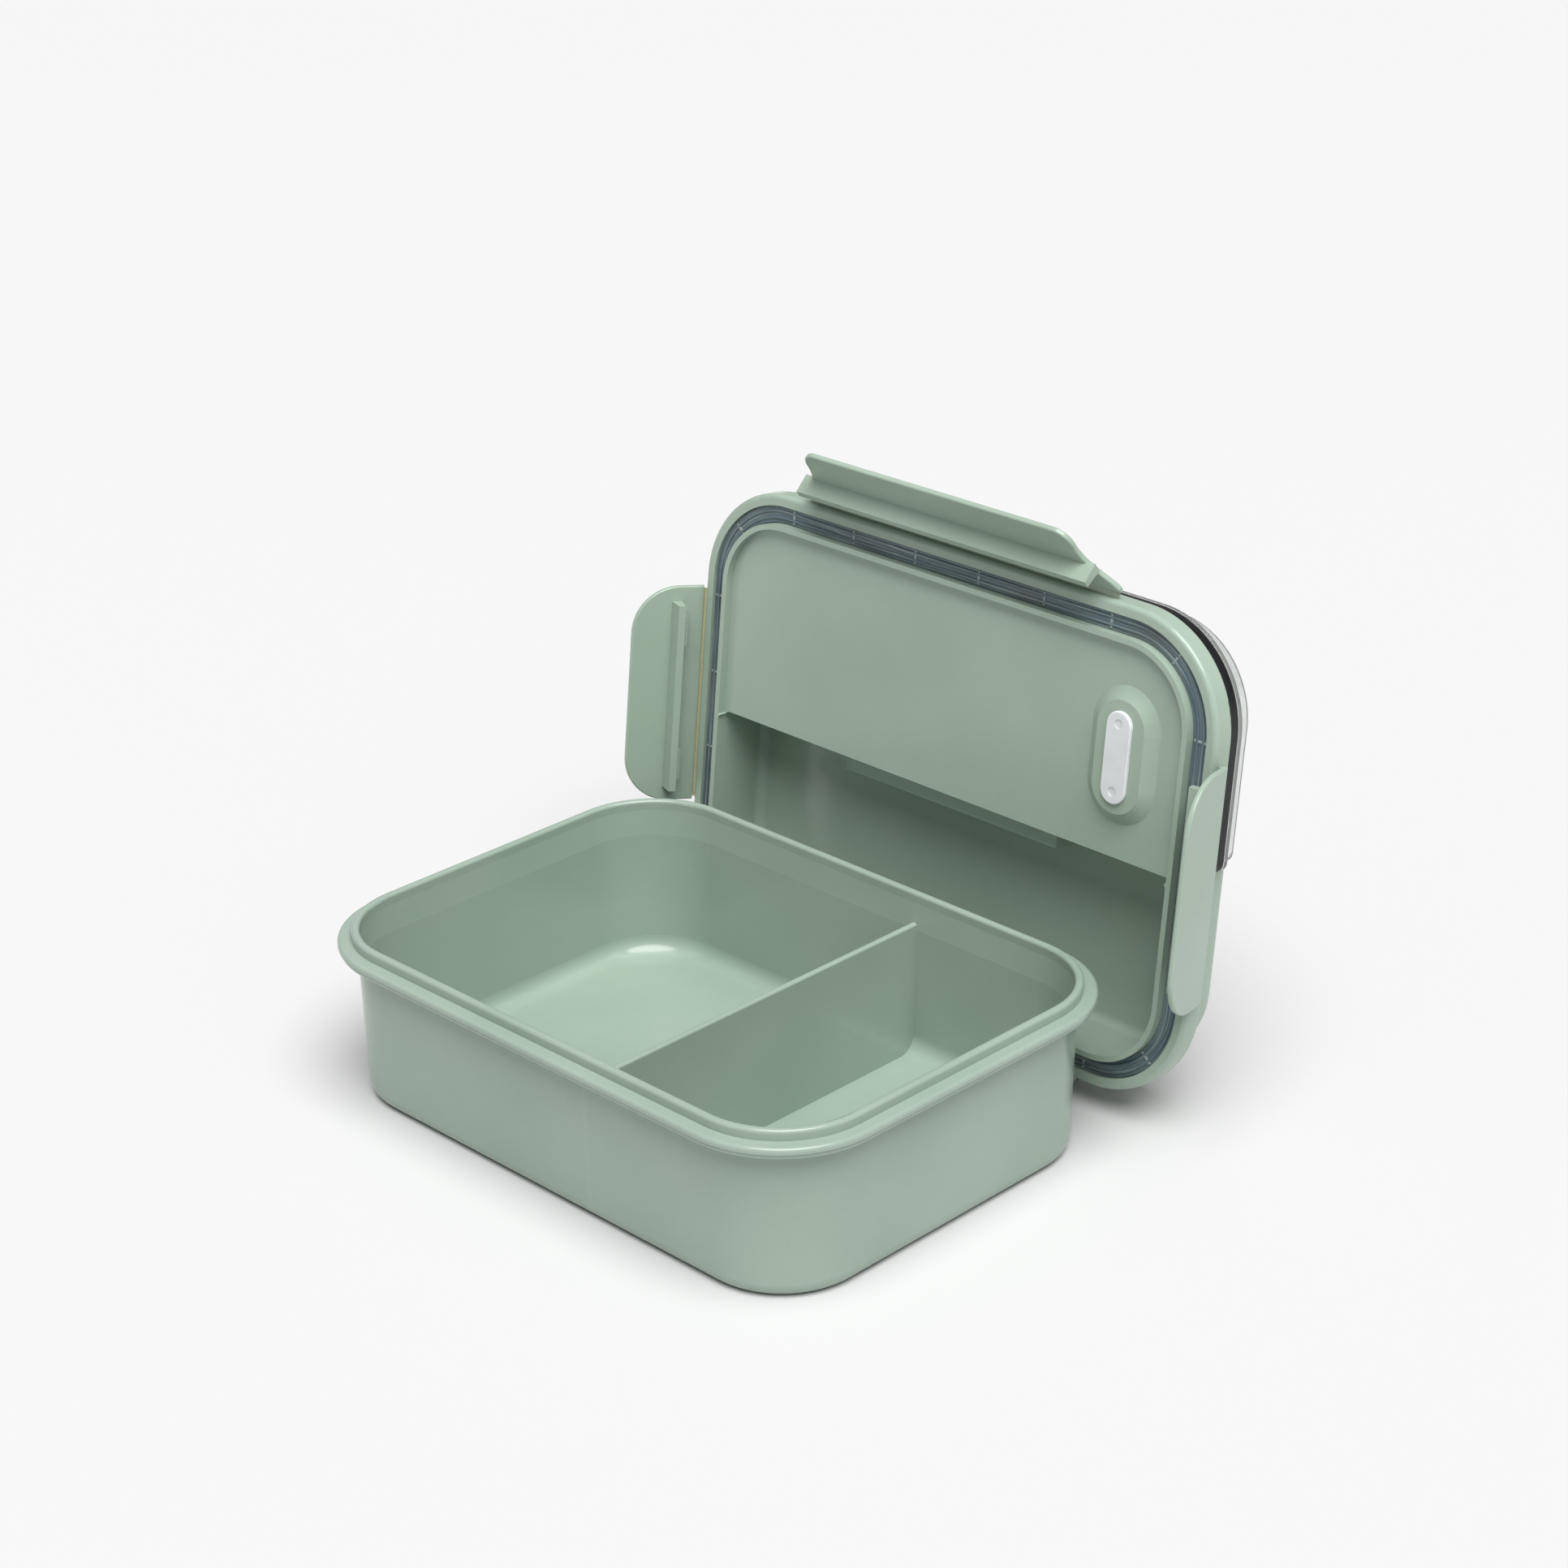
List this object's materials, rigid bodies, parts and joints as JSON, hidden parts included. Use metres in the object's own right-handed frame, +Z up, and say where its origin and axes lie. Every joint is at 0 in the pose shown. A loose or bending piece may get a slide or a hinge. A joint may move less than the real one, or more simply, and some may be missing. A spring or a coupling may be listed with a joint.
{
  "type": "lunch box",
  "caption": "Rectangular plastic lunch box with a moulded divider, shown open with its gasketed clip lid standing behind the tub.",
  "frame": {"origin": "middle of the tub's underside, on the table", "axes": "+Z up, +X along the long side, -Y towards the long front side; the open lid stands behind at +Y"},
  "size_m": [0.2381, 0.1993, 0.185],
  "materials": {
    "green_pp": "satin",
    "gasket_silicone": "smoky translucent silicone",
    "white_silicone": "matte",
    "black_silicone": "satin",
    "clear_plastic": "clear gloss",
    "film_pp": "thin translucent web"
  },
  "bodies": {
    "tub": {"base_tub": "green_pp"},
    "lid": {"lid_shell": "green_pp", "lid_gasket": "gasket_silicone", "cover_seal": "black_silicone", "film_hinge_front": "film_pp", "film_hinge_back": "film_pp", "film_hinge_left": "film_pp", "film_hinge_right": "film_pp"},
    "cover": {"cover_window": "clear_plastic"},
    "vent": {"vent_plug": "white_silicone"},
    "latch_front": {"latch_front": "green_pp"},
    "latch_back": {"latch_back": "green_pp"},
    "latch_left": {"latch_left": "green_pp"},
    "latch_right": {"latch_right": "green_pp"}
  },
  "joints": [
    {"name": "lid_lift", "type": "slide", "parent": "tub", "child": "lid", "axis": [0, 0, 1], "range_m": [0, 0.2]},
    {"name": "latch_front_fold", "type": "hinge", "parent": "lid", "child": "latch_front", "pos_m": [0.01, 0.10142, 0.16445], "axis": [1, 0, 0], "range_deg": [-57, 48]},
    {"name": "latch_back_fold", "type": "hinge", "parent": "lid", "child": "latch_back", "pos_m": [0.01, 0.08386, 0.00542], "axis": [-1, 0, 0], "range_deg": [0, 119]},
    {"name": "latch_left_fold", "type": "hinge", "parent": "lid", "child": "latch_left", "pos_m": [-0.0995, 0.09264, 0.08493], "axis": [0, 0.1097, 0.994], "range_deg": [-77, 28]},
    {"name": "latch_right_fold", "type": "hinge", "parent": "lid", "child": "latch_right", "pos_m": [0.1195, 0.09264, 0.08493], "axis": [0, -0.1097, -0.994], "range_deg": [-91, 14]},
    {"name": "cover_open", "type": "hinge", "parent": "lid", "child": "cover", "pos_m": [0.01, 0.11146, 0.15972], "axis": [1, 0, 0], "range_deg": [0, 95]},
    {"name": "vent_pull", "type": "slide", "parent": "lid", "child": "vent", "axis": [0, -0.994, 0.1097], "range_m": [0, 0.008]}
  ]
}
